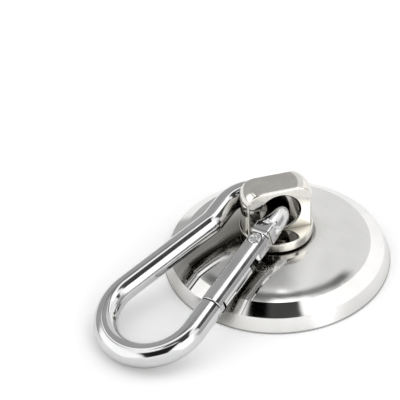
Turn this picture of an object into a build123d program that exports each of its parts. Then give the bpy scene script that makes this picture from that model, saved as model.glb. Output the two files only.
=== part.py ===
from build123d import *
import math
import os

# Magnet fishing magnet: a round pot magnet, with a swivelling eye and a spring-gate snap hook in it.
# Millimetres, +Z up. The origin is the centre of the flat working face, which rests on z = 0.
# The eye's flats face -Y and +Y, so its bore runs along Y.

# Steel cup
CUP_RADIUS = 24.0
SKIRT_TOP_RADIUS = 22.7
SKIRT_TOP_HEIGHT = 3.1
SHOULDER_RADIUS = 19.8
SHOULDER_HEIGHT = 4.7
SKIRT_FILLET = 0.9
SHOULDER_FILLET = 7.0
LAND_RADIUS = 8.3           # flat spot face under the eye's flange
LAND_HEIGHT = 7.1
DOME_RISE = 0.35            # how far the domed top stands above its chord
RIM_CHAMFER = 0.2
CHAMBER_RADIUS = 19.8       # inside of the pole ring
CHAMBER_DEPTH = 2.7
POCKET_RADIUS = 6.2         # clearance for the nut and washer under the web
WEB_BOTTOM = 4.6

# Magnet, potting and cover
MAGNET_RADIUS = 19.0
MAGNET_BORE_RADIUS = 5.6
POTTING_RECESS = 0.15
COVER_THICKNESS = 0.6

# Swivel
SHANK_RADIUS = 3.0
THREAD_RADIUS = 2.5
RUNNING_GAP = 0.05
WASHER_BORE_RADIUS = 3.1
TOP_WASHER_RADIUS = 7.0
TOP_WASHER_THICKNESS = 0.25
LOWER_WASHER_RADIUS = 5.0
LOWER_WASHER_THICKNESS = 0.5
NUT_WIDTH = 8.0
NUT_HEIGHT = 2.7
SHANK_END = 1.0
TOP_WASHER_TOP = LAND_HEIGHT + TOP_WASHER_THICKNESS
LOWER_WASHER_BOTTOM = WEB_BOTTOM - LOWER_WASHER_THICKNESS
NUT_TOP = LOWER_WASHER_BOTTOM - RUNNING_GAP

# Eye
FLANGE_RADIUS = 7.7
FLANGE_THICKNESS = 2.2
EYE_RADIUS = 7.4
EYE_TOP = 19.8
EYE_CORNER = 2.9
EYE_THICKNESS = 6.2
EYE_EDGE = 0.5
FLANGE_EDGE = 0.35
BORE_HEIGHT = 14.2
BORE_RADIUS = 4.2
BORE_CHAMFER = 0.35

# Snap hook: a round wire loop in one plane. In the hook's own plane, x runs down its dip and
# y towards the gate, and (0, 0) is the middle of the eye's bore.
WIRE_RADIUS = 2.5
HOOK_DIP = 15.0             # degrees that the loop slopes down from the eye
HOOK_HEADING = 24.0         # degrees that the dip is turned from -X towards -Y
SMALL_CENTRE = Vector(5.4, -2.5)
SMALL_RADIUS = 6.15
BOW_CENTRE = Vector(34.9, 1.95)
BOW_RADIUS = 10.0
SPINE_SLOPE = -2.2          # degrees
KNEE_SLOPE = 15.0           # degrees
KNEE_RADIUS = 4.0

# Forged neck between the round wire and the tongue, in the gate's frame: a squarish block whose
# section spans NECK_INNER to NECK_OUTER across the loop, with a shallow fold line round it.
WIRE_END = -5.3
NECK_START = -4.2
NECK_FACE = -1.62
NECK_INNER = -2.3
NECK_OUTER = 1.95
NECK_HALF_HEIGHT = 2.25
NECK_EDGE = 0.7
FOLD_START = -2.45
FOLD_END = -2.15
FOLD_DEPTH = 0.15
NECK_FACE_EDGE = 0.2

# Gate. In its own frame, x runs from the hinge to the nose, y points out of the loop and z is the
# hinge axis.
HINGE_FROM_SMALL_TANGENT = 6.3
GATE_RADIUS = 2.55
GATE_LENGTH = 16.88
GATE_EDGE = 0.2
EAR_END = -1.35             # the ears are cut square here
EAR_RELIEF = 28.0           # degrees: the inner corners are cut back so that the gate can swing
GATE_BORE_RADIUS = 1.55
GATE_BORE_END = 14.4
NOSE_FACE = 17.13
TONGUE_HALF = 1.0           # half the thickness of the flattened wire
SLOT_HALF = 1.1
TONGUE_TIP = 3.6
TONGUE_OUTER = 2.25
TONGUE_INNER = 1.6
SLOT_INNER = 1.8
OPEN_SLOT_END = 2.4         # behind this the slot is cut right through
OUTER_SLOT_END = 6.0
TAB_HALF = 0.9
TAB_START = 15.7
TAB_INNER = 1.0
TAB_OUTER = 2.2
NOSE_SLOT_START = 15.4
NOSE_SLOT_INNER = 1.25
RIVET_RADIUS = 0.9
RIVET_HEAD_RADIUS = 1.45
RIVET_HEAD_HEIGHT = 0.5
RIVET_SEAT = 1.85           # height of the spot faces that the rivet's heads sit on

# Gate spring and plunger
PLUNGER_RADIUS = 1.5
PLUNGER_START = 3.72
PLUNGER_LENGTH = 4.0
SPRING_WIRE_RADIUS = 0.18
SPRING_MEAN_RADIUS = 1.2
SPRING_TURNS = 8


def rod_z(radius, low, high):
    """A round rod on the Z axis."""
    return Pos(0, 0, (low + high) / 2) * Cylinder(radius, high - low)


def ring(outer, inner, low, high):
    """A washer-shaped solid on the Z axis."""
    return rod_z(outer, low, high) - rod_z(inner, low - 1, high + 1)


def box(x0, x1, y0, y1, z0, z1):
    """A box between two corners."""
    return Pos((x0 + x1) / 2, (y0 + y1) / 2, (z0 + z1) / 2) * Box(x1 - x0, y1 - y0, z1 - z0)


def rod_x(radius, start, end):
    """A round rod along X."""
    return Pos((start + end) / 2, 0, 0) * Rot(0, 90, 0) * Cylinder(radius, end - start)


def vertex_near(sketch, x, y):
    """The vertex of a sketch on the XZ plane closest to a point of its profile."""
    return min(sketch.vertices(), key=lambda v: math.hypot(v.X - x, v.Z - y))


def cup_shell():
    """Turned steel cup: sloping skirt, rounded shoulder, domed top, chamber, pocket and hole."""
    hole = SHANK_RADIUS + RUNNING_GAP
    middle_radius = (SHOULDER_RADIUS + LAND_RADIUS) / 2
    middle_height = (SHOULDER_HEIGHT + LAND_HEIGHT) / 2 + DOME_RISE
    with BuildSketch(Plane.XZ) as profile:
        with BuildLine():
            Polyline(
                (hole, LAND_HEIGHT),
                (hole, WEB_BOTTOM),
                (POCKET_RADIUS, WEB_BOTTOM),
                (POCKET_RADIUS, CHAMBER_DEPTH),
                (CHAMBER_RADIUS, CHAMBER_DEPTH),
                (CHAMBER_RADIUS, 0),
                (CUP_RADIUS - RIM_CHAMFER, 0),
                (CUP_RADIUS, RIM_CHAMFER),
                (SKIRT_TOP_RADIUS, SKIRT_TOP_HEIGHT),
                (SHOULDER_RADIUS, SHOULDER_HEIGHT),
            )
            ThreePointArc(
                (SHOULDER_RADIUS, SHOULDER_HEIGHT),
                (middle_radius, middle_height),
                (LAND_RADIUS, LAND_HEIGHT),
            )
            Line((LAND_RADIUS, LAND_HEIGHT), (hole, LAND_HEIGHT))
        make_face()
        skirt = vertex_near(profile.sketch, SKIRT_TOP_RADIUS, SKIRT_TOP_HEIGHT)
        fillet(skirt, SKIRT_FILLET)
        shoulder = vertex_near(profile.sketch, SHOULDER_RADIUS, SHOULDER_HEIGHT)
        fillet(shoulder, SHOULDER_FILLET)
    return revolve(profile.sketch, Axis.Z)


def swivel_eye():
    """Turned and milled eye: shank, flange, and a head with two flats and a cross bore."""
    flange_bottom = TOP_WASHER_TOP + RUNNING_GAP
    head = rod_z(EYE_RADIUS, flange_bottom, EYE_TOP)
    head = fillet(head.edges().sort_by(Axis.Z)[-1], EYE_CORNER)
    head &= box(-10, 10, -EYE_THICKNESS / 2, EYE_THICKNESS / 2, flange_bottom, EYE_TOP + 1)
    flats = head.faces().filter_by(Axis.Y)
    rims = [e for face in flats for e in face.edges() if e.center().Z > flange_bottom + 1]
    head = fillet(rims, EYE_EDGE)
    flange_top = flange_bottom + FLANGE_THICKNESS
    flange = fillet(rod_z(FLANGE_RADIUS, flange_bottom, flange_top).edges(), FLANGE_EDGE)
    eye = head + flange
    bore = Pos(0, 0, BORE_HEIGHT) * Rot(90, 0, 0) * Cylinder(BORE_RADIUS, 3 * EYE_THICKNESS)
    eye -= bore
    mouths = eye.edges().filter_by(GeomType.CIRCLE).filter_by(
        lambda e: abs(e.radius - BORE_RADIUS) < 1e-3 and abs(e.arc_center.Z - BORE_HEIGHT) < 1e-3
    )
    eye = chamfer(mouths, BORE_CHAMFER)
    shank_top = flange_bottom + FLANGE_THICKNESS / 2
    eye += rod_z(SHANK_RADIUS, NUT_TOP, shank_top)
    eye += rod_z(THREAD_RADIUS, SHANK_END, NUT_TOP)
    return eye


def swivel_nut():
    """Thin hexagon nut that holds the shank under the web."""
    hexagon = RegularPolygon(NUT_WIDTH / 2, 6, major_radius=False) - Circle(THREAD_RADIUS)
    return Pos(0, 0, NUT_TOP - NUT_HEIGHT) * extrude(hexagon, NUT_HEIGHT)


def tangent_angle():
    """Slope in degrees of the gate side, the outer tangent of the small eye and the bow."""
    across = BOW_CENTRE - SMALL_CENTRE
    spread = math.asin((BOW_RADIUS - SMALL_RADIUS) / across.length)
    return math.degrees(math.atan2(across.Y, across.X) + spread)


def direction(degrees):
    """Unit vector in the hook's plane."""
    return Vector(math.cos(math.radians(degrees)), math.sin(math.radians(degrees)))


GATE_SLOPE = tangent_angle()
SMALL_TANGENT = SMALL_CENTRE + direction(GATE_SLOPE + 90) * SMALL_RADIUS
BOW_TANGENT = BOW_CENTRE + direction(GATE_SLOPE + 90) * BOW_RADIUS
HINGE = SMALL_TANGENT + direction(GATE_SLOPE) * HINGE_FROM_SMALL_TANGENT
GATE_FRAME = Plane(origin=HINGE, x_dir=direction(GATE_SLOPE), z_dir=(0, 0, 1))


def hook_plane():
    """The plane of the loop, through the middle of the eye's bore."""
    heading = math.radians(180 + HOOK_HEADING)
    dip = math.radians(HOOK_DIP)
    down = Vector(math.cos(heading) * math.cos(dip), math.sin(heading) * math.cos(dip), -math.sin(dip))
    level = Vector(-math.sin(heading), math.cos(heading), 0)
    return Plane(origin=(0, 0, BORE_HEIGHT), x_dir=down, z_dir=down.cross(level))


def hook_path():
    """Centre line of the wire, from the nose round the bow, spine, knee and small eye to the hinge."""
    nose = HINGE + direction(GATE_SLOPE) * NOSE_FACE
    spine_start = BOW_CENTRE + direction(SPINE_SLOPE - 90) * BOW_RADIUS
    small_end = SMALL_CENTRE + direction(KNEE_SLOPE - 90) * SMALL_RADIUS
    spine, knee = direction(SPINE_SLOPE), direction(KNEE_SLOPE)
    gap = small_end - spine_start
    along = (gap.X * knee.Y - gap.Y * knee.X) / (spine.X * knee.Y - spine.Y * knee.X)
    corner = spine_start + spine * along
    bow_tip = BOW_CENTRE + direction((GATE_SLOPE + SPINE_SLOPE) / 2) * BOW_RADIUS
    small_tip = SMALL_CENTRE + direction((GATE_SLOPE + KNEE_SLOPE) / 2 + 180) * SMALL_RADIUS
    trim = KNEE_RADIUS * math.tan(math.radians(KNEE_SLOPE - SPINE_SLOPE) / 2)
    knee_start = corner + spine * trim
    knee_end = corner - knee * trim
    return Wire([
        Line(nose, BOW_TANGENT),
        ThreePointArc(BOW_TANGENT, bow_tip, spine_start),
        Line(spine_start, knee_start),
        TangentArc(knee_start, knee_end, tangent=spine * -1),
        Line(knee_end, small_end),
        ThreePointArc(small_end, small_tip, SMALL_TANGENT),
        Line(SMALL_TANGENT, HINGE),
    ])


def neck_section(x, inset=0.0):
    """Rounded rectangle of the forged neck at a place on the gate's X axis."""
    plane = Plane(origin=(x, (NECK_INNER + NECK_OUTER) / 2, 0), x_dir=(0, 1, 0), z_dir=(1, 0, 0))
    width = NECK_OUTER - NECK_INNER - 2 * inset
    height = 2 * (NECK_HALF_HEIGHT - inset)
    return plane * RectangleRounded(width, height, NECK_EDGE)


def neck():
    """Forged neck: the round wire drawn into a squarish block with a fold line, in the gate's frame."""
    wire_end = Plane(origin=(WIRE_END, 0, 0), x_dir=(0, 1, 0), z_dir=(1, 0, 0)) * Circle(WIRE_RADIUS)
    block = loft([wire_end, neck_section(NECK_START)])
    block += extrude(neck_section(NECK_START), FOLD_START - NECK_START)
    block += extrude(neck_section(FOLD_START, FOLD_DEPTH), FOLD_END - FOLD_START)
    block += extrude(neck_section(FOLD_END), NECK_FACE - FOLD_END)
    face = block.faces().sort_by(Axis.X)[-1]
    return chamfer(face.edges(), NECK_FACE_EDGE)


def tongue():
    """Flattened end of the wire, with the cam face that the plunger presses on, in the gate's frame."""
    back = NECK_FACE - 0.5
    outline = Polyline(
        (back, -TONGUE_OUTER), (-0.2, -TONGUE_OUTER), (1.2, -TONGUE_INNER), (TONGUE_TIP, -TONGUE_INNER),
        (TONGUE_TIP, TONGUE_OUTER), (-0.5, TONGUE_OUTER), (back, NECK_OUTER), close=True,
    )
    sketch = make_face(outline)
    tip = sketch.vertices().filter_by(lambda v: v.X > TONGUE_TIP - 0.1 and v.Y > 0)
    sketch = fillet(tip, 1.6)
    return Pos(0, 0, -TONGUE_HALF) * extrude(sketch, 2 * TONGUE_HALF)


def hook_body():
    """Bent wire with a forged neck and flattened tongue at the hinge and a tab at the nose."""
    path = hook_path()
    section = Plane(origin=path @ 0, z_dir=path % 0) * Circle(WIRE_RADIUS)
    body = sweep(section, path)
    reach = 1.2 * WIRE_RADIUS
    body -= GATE_FRAME * box(WIRE_END, 1.0, -reach, reach, -reach, reach)
    body += GATE_FRAME * neck()
    body += GATE_FRAME * tongue()
    body -= GATE_FRAME * Cylinder(RIVET_RADIUS + RUNNING_GAP, 4 * WIRE_RADIUS)
    tab = box(TAB_START, NOSE_FACE + 0.5, -TAB_INNER, TAB_OUTER, -TAB_HALF, TAB_HALF)
    body += GATE_FRAME * tab
    return hook_plane() * body


def in_gate_frame(shape):
    """Places a solid made in the gate's frame."""
    return hook_plane() * (GATE_FRAME * shape)


def gate_tube():
    """Tubular gate: round ears at the hinge, cam slot, spring bore and nose slot."""
    tube = rod_x(GATE_RADIUS, 0, GATE_LENGTH)
    tube = fillet(tube.edges().filter_by(lambda e: e.center().X > 1), GATE_EDGE)
    ears = rod_x(GATE_RADIUS, EAR_END, 0.0)
    relief = Rot(0, 0, EAR_RELIEF) * box(-4 * GATE_RADIUS, EAR_END - 0.05, -9, 9, -9, 9)
    tube += ears - relief
    reach = 2 * GATE_RADIUS
    tube -= rod_x(GATE_BORE_RADIUS, -reach, GATE_BORE_END)
    tube -= box(-reach, OPEN_SLOT_END, -reach, reach, -SLOT_HALF, SLOT_HALF)
    tube -= box(0, OUTER_SLOT_END, -SLOT_INNER, reach, -SLOT_HALF, SLOT_HALF)
    tube -= box(NOSE_SLOT_START, GATE_LENGTH + 1, -NOSE_SLOT_INNER, reach, -SLOT_HALF, SLOT_HALF)
    tube -= Cylinder(RIVET_RADIUS, 2 * reach)
    for side in (-1, 1):
        seat = Cylinder(RIVET_HEAD_RADIUS + 0.1, 1.0)
        tube -= Pos(0, 0, side * (RIVET_SEAT + 0.5)) * seat
    return in_gate_frame(tube)


def gate_rivet():
    """Hinge rivet with two peened heads."""
    rivet = Cylinder(RIVET_RADIUS, 2 * RIVET_SEAT)
    for side in (-1, 1):
        middle = side * (RIVET_SEAT + RIVET_HEAD_HEIGHT / 2)
        head = Pos(0, 0, middle) * Cylinder(RIVET_HEAD_RADIUS, RIVET_HEAD_HEIGHT)
        outer = head.edges().filter_by(lambda e: abs(e.center().Z) > RIVET_SEAT + RIVET_HEAD_HEIGHT / 2)
        rivet += fillet(outer, 0.8 * RIVET_HEAD_HEIGHT)
    return in_gate_frame(rivet)


def gate_plunger():
    """Pin that the spring presses on the tongue's cam face."""
    end = PLUNGER_START + PLUNGER_LENGTH
    return in_gate_frame(fillet(rod_x(PLUNGER_RADIUS, PLUNGER_START, end).edges(), 0.15))


def gate_spring():
    """Compression spring between the plunger and the end of the gate's bore."""
    start = PLUNGER_START + PLUNGER_LENGTH + SPRING_WIRE_RADIUS + 0.02
    length = GATE_BORE_END - SPRING_WIRE_RADIUS - 0.02 - start
    path = Helix(length / SPRING_TURNS, length, SPRING_MEAN_RADIUS)
    section = Plane(origin=path @ 0, z_dir=path % 0) * Circle(SPRING_WIRE_RADIUS)
    coil = sweep(section, path, is_frenet=True)
    return in_gate_frame(Pos(start, 0, 0) * Rot(0, 90, 0) * coil)


PIECES = {
    "cup_shell": cup_shell(),
    "magnet_ring": ring(MAGNET_RADIUS, MAGNET_BORE_RADIUS, 0, CHAMBER_DEPTH),
    "potting_ring": ring(CHAMBER_RADIUS, MAGNET_RADIUS, POTTING_RECESS, CHAMBER_DEPTH),
    "center_cover": rod_z(MAGNET_BORE_RADIUS, 0, COVER_THICKNESS),
    "upper_washer": ring(TOP_WASHER_RADIUS, WASHER_BORE_RADIUS, LAND_HEIGHT, TOP_WASHER_TOP),
    "lower_washer": ring(LOWER_WASHER_RADIUS, WASHER_BORE_RADIUS, LOWER_WASHER_BOTTOM, WEB_BOTTOM),
    "swivel_eye": swivel_eye(),
    "swivel_nut": swivel_nut(),
    "hook_body": hook_body(),
    "gate_tube": gate_tube(),
    "gate_rivet": gate_rivet(),
    "gate_plunger": gate_plunger(),
    "gate_spring": gate_spring(),
}

os.makedirs("parts", exist_ok=True)
for name, piece in PIECES.items():
    export_step(piece, f"parts/{name}.step")
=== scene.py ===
import bpy
import math
from mathutils import Matrix, Vector

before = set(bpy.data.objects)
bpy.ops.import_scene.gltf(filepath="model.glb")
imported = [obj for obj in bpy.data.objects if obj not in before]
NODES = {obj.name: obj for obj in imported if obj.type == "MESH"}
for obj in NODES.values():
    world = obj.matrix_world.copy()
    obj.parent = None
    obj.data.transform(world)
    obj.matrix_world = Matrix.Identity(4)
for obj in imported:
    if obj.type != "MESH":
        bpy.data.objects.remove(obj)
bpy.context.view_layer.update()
MM = 0.001

# Camera: where it stands round the origin, in metres, and how far it looks away from it
CAMERA_AZIMUTH = math.radians(-16.0)
CAMERA_ELEVATION = math.radians(40.64)
CAMERA_DISTANCE = 0.300
CAMERA_YAW = math.radians(3.09)
CAMERA_PITCH = math.radians(2.335)
CAMERA_ROLL = math.radians(0.81)
SENSOR_MM = 36.0
LENS_MM = 126.36
CLIP_START = 0.01

# Studio. The tent's brightness rises from the ground, over the horizon, to straight overhead.
TENT = [(0.0, 1.15), (0.5, 1.3), (1.0, 1.4)]

# Panels on the sky's chart: centre x, centre y, angle, half length, half width, softness, brightness
SKY_PANELS = [
    (-0.565, 0.52, 0, 0.635, 0.38, 0.06, 0.50),     # back wall, its darker left part
    (0.205, 0.67, 0, 0.135, 0.53, 0.06, 0.90),      # back wall, right part
    (0.875, -0.10, 0, 0.325, 0.20, 0.06, 0.55),     # right wall
    (-0.12, 0.07, 0, 0.09, 0.07, 0.02, 0.40),       # left end of the overhead softbox
    (0.11, 0.06, -20, 0.13, 0.055, 0.015, 2.2),     # softbox overhead
    (0.45, -0.50, -30, 0.30, 0.17, 0.07, 2.2),      # softbox at the front right
    (-0.62, -0.15, 0, 0.25, 0.40, 0.05, 1.6),       # softbox at the left
    (0.39, -0.095, -14, 0.14, 0.045, 0.012, 0.08),  # dark edge between the softboxes
    (-0.02, -0.06, 0, 0.122, 0.052, 0.016, 0.0),    # dark gap overhead
    (0.075, -0.13, -47, 0.18, 0.060, 0.012, 0.07),  # its right arm
    (-0.12, -0.38, 0, 0.20, 0.22, 0.03, 0.02),      # its lower end
]

# A dark edge and a bright strip, curved below the back wall: inner radius, outer radius, brightness
ARC_CENTRE = (0.0, 0.36)
ARC_TOP = 0.30
ARC_FADE = 0.06
ARC_SOFTNESS = 0.012
ARCS = [(0.218, 0.252, 0.20), (0.264, 0.335, 1.6)]
CHART_EDGE = 0.05               # keeps the chart finite straight below

# Table top, in metres
FLOOR_HALF = 3.0
FLOOR_LEVEL = -0.02 * MM        # just clear of the working face

# Noise values between which a material's tint and gloss change, and what counts as a place shut in, where
# shade is painted into the colour
TINT_SPAN = (0.35, 0.65)
GLOSS_SPAN = (0.35, 0.7)
SHADE_SPAN = (0.15, 0.95)
SHADE_SAMPLES = 24

# Cup, in millimetres: where each of its finishes, and the painted shadow line round its foot, starts and
# ends, by radius or height
SPECKS_END = (10.0, 15.0)
DOME_HAZE_END = (15.0, 19.0)
SKIRT_HAZE_END = (2.6, 3.4)
FOOT_SHADOW_START = (23.7, 23.85)
FOOT_SHADOW_TOP = (0.2, 0.5)

# How far the forging marks reach from the hinge, in millimetres
FORGED_END = (4.5, 8.0)


def camera():
    """A long lens that looks down on the cup, aimed up and to the left of its middle."""
    back = Vector((
        math.sin(CAMERA_AZIMUTH) * math.cos(CAMERA_ELEVATION),
        -math.cos(CAMERA_AZIMUTH) * math.cos(CAMERA_ELEVATION),
        math.sin(CAMERA_ELEVATION),
    ))
    right = Vector((math.cos(CAMERA_AZIMUTH), math.sin(CAMERA_AZIMUTH), 0.0))
    basis = Matrix((right, back.cross(right), back)).transposed()
    turn = Matrix.Rotation(CAMERA_YAW, 3, "Y") @ Matrix.Rotation(CAMERA_PITCH, 3, "X")
    turn = turn @ Matrix.Rotation(-CAMERA_ROLL, 3, "Z")
    data = bpy.data.cameras.new("camera")
    data.sensor_width = SENSOR_MM
    data.lens = LENS_MM
    data.clip_start = CLIP_START
    obj = bpy.data.objects.new("camera", data)
    obj.matrix_world = Matrix.Translation(back * CAMERA_DISTANCE) @ (basis @ turn).to_4x4()
    bpy.context.scene.collection.objects.link(obj)
    bpy.context.scene.camera = obj


# Node helpers ---------------------------------------------------------------------------------

def node(tree, kind, **values):
    """Adds a node, sets its properties and its unlinked inputs."""
    made = tree.nodes.new(kind)
    for key, value in values.items():
        if key in made.inputs:
            made.inputs[key].default_value = value
        else:
            setattr(made, key, value)
    return made


def math_node(tree, operation, a, b=None):
    """A Math node fed with sockets or numbers."""
    made = node(tree, "ShaderNodeMath", operation=operation)
    for index, value in enumerate((a, b)):
        if value is None:
            continue
        if isinstance(value, (int, float)):
            made.inputs[index].default_value = value
        else:
            tree.links.new(value, made.inputs[index])
    return made.outputs[0]


def mix(tree, factor, a, b):
    """Mixes two colours, each a socket or a fixed colour."""
    made = node(tree, "ShaderNodeMix", data_type="RGBA")
    sockets = {socket.name: socket for socket in made.inputs if socket.type == "RGBA"}
    for name, value in (("A", a), ("B", b)):
        if isinstance(value, tuple):
            sockets[name].default_value = (*value[:3], 1.0)
        else:
            tree.links.new(value, sockets[name])
    tree.links.new(factor, made.inputs[0])
    return made.outputs[2]


def ramp(tree, factor, stops):
    """A colour ramp over a factor."""
    made = tree.nodes.new("ShaderNodeValToRGB")
    made.color_ramp.interpolation = "EASE"
    elements = made.color_ramp.elements
    while len(elements) < len(stops):
        elements.new(0.5)
    for element, (place, value) in zip(elements, stops):
        element.position = place
        element.color = value
    tree.links.new(factor, made.inputs["Fac"])
    return made.outputs["Color"]


def grey(value):
    """A grey colour."""
    return (value, value, value, 1.0)


def remap(tree, value, low, high, new_low, new_high):
    """A smooth map of a value's range onto another."""
    made = node(tree, "ShaderNodeMapRange", interpolation_type="SMOOTHSTEP")
    made.inputs["From Min"].default_value = low
    made.inputs["From Max"].default_value = high
    made.inputs["To Min"].default_value = new_low
    made.inputs["To Max"].default_value = new_high
    tree.links.new(value, made.inputs["Value"])
    return made.outputs["Result"]


# Studio ---------------------------------------------------------------------------------------

def band(tree, value, low, high, soft):
    """1 between two values, falling smoothly to 0 just outside them."""
    rise = remap(tree, value, low - soft, low + soft, 0.0, 1.0)
    fall = remap(tree, value, high - soft, high + soft, 1.0, 0.0)
    return math_node(tree, "MULTIPLY", rise, fall)


def turned(tree, x, y, centre_x, centre_y, angle):
    """Coordinates along and across a panel."""
    x = math_node(tree, "SUBTRACT", x, centre_x)
    y = math_node(tree, "SUBTRACT", y, centre_y)
    x_cos, x_sin = (math_node(tree, "MULTIPLY", x, part) for part in (math.cos(angle), math.sin(angle)))
    y_cos, y_sin = (math_node(tree, "MULTIPLY", y, part) for part in (math.cos(angle), math.sin(angle)))
    return math_node(tree, "ADD", x_cos, y_sin), math_node(tree, "SUBTRACT", y_cos, x_sin)


def studio_world():
    """A white tent with panels. They are placed on the sky's flat chart, whose middle is straight
    overhead, whose unit circle is the horizon, and whose y runs away from the camera."""
    world = bpy.data.worlds.new("studio")
    bpy.context.scene.world = world
    world.use_nodes = True
    tree = world.node_tree
    tree.nodes.clear()
    coordinates = tree.nodes.new("ShaderNodeTexCoord")
    mapping = tree.nodes.new("ShaderNodeMapping")
    mapping.inputs["Rotation"].default_value = (0.0, 0.0, -CAMERA_AZIMUTH)
    tree.links.new(coordinates.outputs["Generated"], mapping.inputs["Vector"])
    split = tree.nodes.new("ShaderNodeSeparateXYZ")
    tree.links.new(mapping.outputs["Vector"], split.inputs["Vector"])
    above = math_node(tree, "MAXIMUM", math_node(tree, "ADD", split.outputs["Z"], 1.0), CHART_EDGE)
    x = math_node(tree, "DIVIDE", split.outputs["X"], above)
    y = math_node(tree, "DIVIDE", split.outputs["Y"], above)
    sky = ramp(tree, split.outputs["Z"], [(height, grey(level)) for height, level in TENT])
    for centre_x, centre_y, angle, length, width, soft, level in SKY_PANELS:
        along, across = turned(tree, x, y, centre_x, centre_y, math.radians(angle))
        lengthwise = band(tree, along, -length, length, soft)
        mask = math_node(tree, "MULTIPLY", lengthwise, band(tree, across, -width, width, soft))
        sky = mix(tree, mask, sky, grey(level))
    from_x = math_node(tree, "SUBTRACT", x, ARC_CENTRE[0])
    from_y = math_node(tree, "SUBTRACT", y, ARC_CENTRE[1])
    x_squared = math_node(tree, "POWER", from_x, 2.0)
    y_squared = math_node(tree, "POWER", from_y, 2.0)
    radius = math_node(tree, "SQRT", math_node(tree, "ADD", x_squared, y_squared))
    below_top = remap(tree, y, ARC_TOP - ARC_FADE, ARC_TOP, 1.0, 0.0)
    for inner, outer, level in ARCS:
        mask = math_node(tree, "MULTIPLY", band(tree, radius, inner, outer, ARC_SOFTNESS), below_top)
        sky = mix(tree, mask, sky, grey(level))
    background = tree.nodes.new("ShaderNodeBackground")
    tree.links.new(sky, background.inputs["Color"])
    output = tree.nodes.new("ShaderNodeOutputWorld")
    tree.links.new(background.outputs["Background"], output.inputs["Surface"])
    bpy.context.scene.view_settings.view_transform = "Standard"


def floor():
    """A plain pale table top."""
    mesh = bpy.data.meshes.new("floor")
    signs = [(-1, -1), (1, -1), (1, 1), (-1, 1)]
    corners = [(x * FLOOR_HALF, y * FLOOR_HALF, FLOOR_LEVEL) for x, y in signs]
    mesh.from_pydata(corners, [], [(0, 1, 2, 3)])
    obj = bpy.data.objects.new("floor", mesh)
    bpy.context.scene.collection.objects.link(obj)
    mesh.materials.append(paper())


# Materials ------------------------------------------------------------------------------------

def blank(name, metallic=1.0):
    """A new node material, its tree, its shader and its coordinates, which are metres at rest."""
    material = bpy.data.materials.new(name)
    material.use_nodes = True
    tree = material.node_tree
    shader = tree.nodes["Principled BSDF"]
    shader.inputs["Metallic"].default_value = metallic
    return material, tree, shader, tree.nodes.new("ShaderNodeTexCoord").outputs["Object"]


def noise(tree, place, grain, detail=2.0):
    """Noise whose lumps are about one grain across, in millimetres."""
    made = node(tree, "ShaderNodeTexNoise", Scale=1.0 / (grain * MM), Detail=detail)
    tree.links.new(place, made.inputs["Vector"])
    return made.outputs["Fac"]


def vector_math(tree, operation, a, b):
    """A Vector Math node on a socket and a socket or fixed vector."""
    made = node(tree, "ShaderNodeVectorMath", operation=operation)
    tree.links.new(a, made.inputs[0])
    if isinstance(b, (tuple, Vector)):
        made.inputs[1].default_value = tuple(b)
    else:
        tree.links.new(b, made.inputs[1])
    return made


def stretched(tree, place, axis, ratio):
    """Coordinates squeezed along an axis, so that noise on them becomes lines along it."""
    along = vector_math(tree, "DOT_PRODUCT", place, axis).outputs["Value"]
    offset = node(tree, "ShaderNodeVectorMath", operation="SCALE")
    offset.inputs[0].default_value = tuple(axis)
    tree.links.new(math_node(tree, "MULTIPLY", along, 1.0 - ratio), offset.inputs["Scale"])
    return vector_math(tree, "SUBTRACT", place, offset.outputs[0]).outputs[0]


def turned_lines(tree, place, grain):
    """Noise in fine rings round the Z axis, as a lathe leaves."""
    flat = vector_math(tree, "MULTIPLY", place, (1.0, 1.0, 0.0)).outputs[0]
    radius = node(tree, "ShaderNodeVectorMath", operation="LENGTH")
    tree.links.new(flat, radius.inputs[0])
    split = tree.nodes.new("ShaderNodeSeparateXYZ")
    tree.links.new(place, split.inputs[0])
    made = node(tree, "ShaderNodeTexNoise", noise_dimensions="1D", Scale=1.0 / (grain * MM), Detail=2.0)
    tree.links.new(math_node(tree, "SUBTRACT", radius.outputs["Value"], split.outputs["Z"]), made.inputs["W"])
    return made.outputs["Fac"]


def near(tree, place, centre, inner, outer):
    """1 within an inner distance of a centre, falling to 0 at the outer one, in millimetres."""
    made = vector_math(tree, "DISTANCE", place, centre)
    return remap(tree, made.outputs["Value"], inner * MM, outer * MM, 1.0, 0.0)


def below(tree, height, low, high):
    """1 under a low height, falling to 0 at the high one, in millimetres."""
    return remap(tree, height, low * MM, high * MM, 1.0, 0.0)


def clouded(tree, place, grain, low, high):
    """Cloudy noise, and a tint that wanders between two colours with it."""
    clouds = noise(tree, place, grain, 4.0)
    return clouds, mix(tree, remap(tree, clouds, *TINT_SPAN, 0.0, 1.0), low, high)


def gloss(tree, shader, clouds, low, high):
    """Roughness that follows the same clouds."""
    tree.links.new(remap(tree, clouds, *GLOSS_SPAN, low, high), shader.inputs["Roughness"])


def bump(tree, shader, layers):
    """Adds up heights, each with its depth in millimetres, into the shader's normal."""
    normal = None
    for height, depth in layers:
        made = node(tree, "ShaderNodeBump", Strength=1.0, Distance=depth * MM)
        tree.links.new(height, made.inputs["Height"])
        if normal:
            tree.links.new(normal, made.inputs["Normal"])
        normal = made.outputs["Normal"]
    tree.links.new(normal, shader.inputs["Normal"])


def paint_shade_in(tree, tint, dark, reach):
    """Painted shade: a tint that turns dark where other pieces stand close round it, standing in for the dark
    reflections that metal mirroring metal shows.
    """
    close = node(tree, "ShaderNodeAmbientOcclusion", samples=SHADE_SAMPLES, Distance=reach * MM)
    # Painted shade: the occlusion mixes the tint towards the dark colour.
    return mix(tree, remap(tree, close.outputs["AO"], *SHADE_SPAN, 0.0, 1.0), dark, tint)


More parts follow.
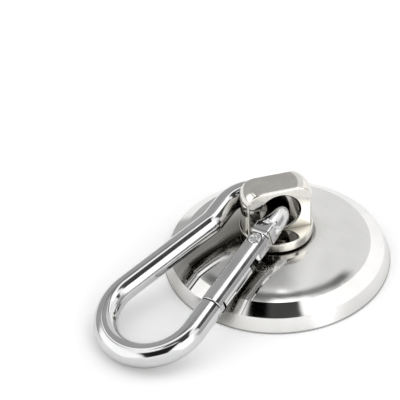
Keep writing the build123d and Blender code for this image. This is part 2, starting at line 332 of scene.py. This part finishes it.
def paper():
    """The white table top: faint fibres, hardly darker than white."""
    material, tree, shader, place = blank("floor_paper", 0.0)
    fibres = noise(tree, place, 0.8, 3.0)
    tint = mix(tree, fibres, (0.955, 0.955, 0.96), (0.98, 0.98, 0.98))
    tree.links.new(tint, shader.inputs["Base Color"])
    tree.links.new(remap(tree, fibres, 0.3, 0.7, 0.55, 0.7), shader.inputs["Roughness"])
    shader.inputs["Emission Color"].default_value = (1.0, 1.0, 1.0, 1.0)
    shader.inputs["Emission Strength"].default_value = 0.15
    bump(tree, shader, [(fibres, 0.004)])
    return material


def cup_plating():
    """Nickel on turned steel: mirror-bright on the shoulder, hazier on the dome and skirt, with faint rings
    round the axis, smudges, a few specks of rust by the eye, painted shade where other pieces stand close,
    and a painted shadow line round the foot."""
    material, tree, shader, place = blank("cup_plating")
    clouds, tint = clouded(tree, place, 6.0, (0.735, 0.73, 0.715), (0.77, 0.765, 0.755))
    # Painted shade: the colour darkens where other pieces stand close round the cup.
    tint = paint_shade_in(tree, tint, (0.20, 0.192, 0.16), 8.0)
    split = tree.nodes.new("ShaderNodeSeparateXYZ")
    tree.links.new(place, split.inputs[0])
    height = split.outputs["Z"]
    # Painted shadow: a dark line round the foot, low down and outside the rim start, where the cup meets the
    # table.
    low = below(tree, height, *FOOT_SHADOW_TOP)
    outside = math_node(tree, "SUBTRACT", 1.0, near(tree, place, ORIGIN, *FOOT_SHADOW_START))
    tint = mix(tree, math_node(tree, "MULTIPLY", low, outside), tint, (0.12, 0.12, 0.115))
    specks = remap(tree, noise(tree, place, 0.35, 1.0), 0.70, 0.76, 0.0, 1.0)
    specks = math_node(tree, "MULTIPLY", specks, near(tree, place, ORIGIN, *SPECKS_END))
    tint = mix(tree, specks, tint, (0.30, 0.20, 0.12))
    tree.links.new(tint, shader.inputs["Base Color"])
    rough = remap(tree, clouds, *GLOSS_SPAN, 0.045, 0.085)
    dome = near(tree, place, ORIGIN, *DOME_HAZE_END)
    skirt = below(tree, height, *SKIRT_HAZE_END)
    for mask, haze in ((dome, 0.06), (skirt, 0.16), (specks, 0.3)):
        rough = math_node(tree, "ADD", rough, math_node(tree, "MULTIPLY", mask, haze))
    tree.links.new(rough, shader.inputs["Roughness"])
    bump(tree, shader, [(noise(tree, place, 5.0), 0.004), (turned_lines(tree, place, 0.25), 0.0005)])
    return material


def eye_plating():
    """Warm nickel on a milled and polished eye, with faint upright polishing lines."""
    material, tree, shader, place = blank("eye_plating")
    clouds, tint = clouded(tree, place, 4.0, (0.70, 0.68, 0.63), (0.75, 0.735, 0.69))
    # Painted shade: the colour darkens where other pieces stand close round the eye.
    tree.links.new(paint_shade_in(tree, tint, (0.17, 0.16, 0.135), 5.0), shader.inputs["Base Color"])
    gloss(tree, shader, clouds, 0.06, 0.11)
    lines = noise(tree, stretched(tree, place, (0.0, 0.0, 1.0), 0.06), 0.12)
    bump(tree, shader, [(noise(tree, place, 4.0), 0.006), (lines, 0.0004)])
    return material


def hook_steel():
    """Polished wire, slightly wavy, with forging marks on the neck by the hinge."""
    material, tree, shader, place = blank("hook_steel")
    clouds, tint = clouded(tree, place, 5.0, (0.585, 0.585, 0.59), (0.625, 0.625, 0.63))
    # Painted shade: the colour darkens where other pieces stand close round the hook.
    tree.links.new(paint_shade_in(tree, tint, (0.16, 0.155, 0.14), 5.0), shader.inputs["Base Color"])
    gloss(tree, shader, clouds, 0.06, 0.12)
    forged = near(tree, place, HINGE, *FORGED_END)
    dents = math_node(tree, "MULTIPLY", noise(tree, place, 1.1), forged)
    bump(tree, shader, [(noise(tree, place, 5.0), 0.008), (dents, 0.06)])
    return material


def gate_steel():
    """Rolled and brushed tube, with fine lines along it."""
    material, tree, shader, place = blank("gate_steel")
    clouds, tint = clouded(tree, place, 4.0, (0.575, 0.575, 0.58), (0.62, 0.62, 0.625))
    # Painted shade: the colour darkens where other pieces stand close round the gate.
    tree.links.new(paint_shade_in(tree, tint, (0.15, 0.145, 0.13), 4.0), shader.inputs["Base Color"])
    gloss(tree, shader, clouds, 0.08, 0.14)
    lines = noise(tree, stretched(tree, place, GATE_AXIS, 0.05), 0.15)
    bump(tree, shader, [(noise(tree, place, 4.0), 0.005), (lines, 0.0006)])
    return material


def rivet_steel():
    """Rivet steel: hammered facets and darker hollows."""
    material, tree, shader, place = blank("rivet_steel")
    facets = node(tree, "ShaderNodeTexVoronoi", Scale=1.0 / (0.7 * MM))
    tree.links.new(place, facets.inputs["Vector"])
    hollows = remap(tree, facets.outputs["Distance"], 0.1, 0.6, 0.0, 1.0)
    tint = mix(tree, hollows, (0.40, 0.40, 0.39), (0.70, 0.70, 0.71))
    tree.links.new(tint, shader.inputs["Base Color"])
    tree.links.new(remap(tree, noise(tree, place, 0.5), 0.3, 0.7, 0.12, 0.28), shader.inputs["Roughness"])
    bump(tree, shader, [(facets.outputs["Distance"], 0.12), (noise(tree, place, 0.3), 0.02)])
    return material


def magnet_plating():
    """Nickel on a sintered magnet: satin, with fine pits and scuffs."""
    material, tree, shader, place = blank("magnet_plating")
    clouds, tint = clouded(tree, place, 3.0, (0.60, 0.585, 0.55), (0.68, 0.665, 0.63))
    tree.links.new(tint, shader.inputs["Base Color"])
    gloss(tree, shader, clouds, 0.18, 0.30)
    scuffs = noise(tree, stretched(tree, place, (0.8, 0.6, 0.0), 0.04), 0.3)
    bump(tree, shader, [(noise(tree, place, 0.25, 3.0), 0.006), (scuffs, 0.003)])
    return material


def resin():
    """Dark casting resin, with a lumpy skin and small bubbles."""
    material, tree, shader, place = blank("resin", 0.0)
    lumps = noise(tree, place, 1.5, 3.0)
    tint = mix(tree, lumps, (0.012, 0.012, 0.014), (0.035, 0.034, 0.036))
    tree.links.new(tint, shader.inputs["Base Color"])
    tree.links.new(remap(tree, lumps, 0.3, 0.7, 0.28, 0.5), shader.inputs["Roughness"])
    bubbles = node(tree, "ShaderNodeTexVoronoi", Scale=1.0 / (1.3 * MM))
    tree.links.new(place, bubbles.inputs["Vector"])
    pits = remap(tree, bubbles.outputs["Distance"], 0.05, 0.22, 0.0, 1.0)
    bump(tree, shader, [(lumps, 0.05), (pits, 0.04)])
    return material


def turned_metal(name, low, high, rough, dark):
    """A small turned piece: fine rings, a tint that wanders between two colours, and painted shade towards
    the dark colour where other pieces stand close.
    """
    material, tree, shader, place = blank(name)
    clouds, tint = clouded(tree, place, 2.0, low, high)
    # Painted shade: the colour darkens towards the dark colour where other pieces stand close.
    tree.links.new(paint_shade_in(tree, tint, dark, 3.0), shader.inputs["Base Color"])
    gloss(tree, shader, clouds, rough, rough + 0.1)
    bump(tree, shader, [(noise(tree, place, 0.6), 0.006), (turned_lines(tree, place, 0.12), 0.002)])
    return material


def spring_steel():
    """Drawn spring wire with a grey phosphate bloom."""
    material, tree, shader, place = blank("spring_steel")
    bloom = noise(tree, place, 0.6, 4.0)
    tree.links.new(mix(tree, bloom, (0.16, 0.16, 0.165), (0.34, 0.34, 0.35)), shader.inputs["Base Color"])
    tree.links.new(remap(tree, bloom, 0.3, 0.7, 0.22, 0.42), shader.inputs["Roughness"])
    bump(tree, shader, [(noise(tree, place, 0.08), 0.002)])
    return material


def middle(name):
    """The middle of a CAD node in its own coordinates, which are the scene's at rest."""
    corners = [Vector(corner) for corner in NODES[name].bound_box]
    return sum(corners, Vector()) / len(corners)


def dress(name, material):
    """Puts a material on a CAD node."""
    slots = NODES[name].material_slots
    for slot in slots:
        slot.material = material
    if not slots:
        NODES[name].data.materials.append(material)


ORIGIN = (0.0, 0.0, 0.0)
HINGE = middle("gate_rivet")
GATE_AXIS = (middle("gate_plunger") - HINGE).normalized()
RESIN = resin()
# The last colour of each small turned piece is the colour of its painted shade.
BRONZE = turned_metal("washer_bronze", (0.42, 0.33, 0.22), (0.56, 0.44, 0.30), 0.22, (0.10, 0.08, 0.05))
ZINC = turned_metal("nut_steel", (0.50, 0.50, 0.48), (0.62, 0.62, 0.60), 0.18, (0.12, 0.12, 0.11))
RIVET = rivet_steel()
FINISHES = {
    "cup_shell": cup_plating(),
    "magnet_ring": magnet_plating(),
    "potting_ring": RESIN,
    "center_cover": RESIN,
    "upper_washer": BRONZE,
    "lower_washer": BRONZE,
    "swivel_eye": eye_plating(),
    "swivel_nut": ZINC,
    "hook_body": hook_steel(),
    "gate_tube": gate_steel(),
    "gate_rivet": RIVET,
    "gate_plunger": RIVET,
    "gate_spring": spring_steel(),
}

camera()
studio_world()
floor()
for name, finish in FINISHES.items():
    dress(name, finish)
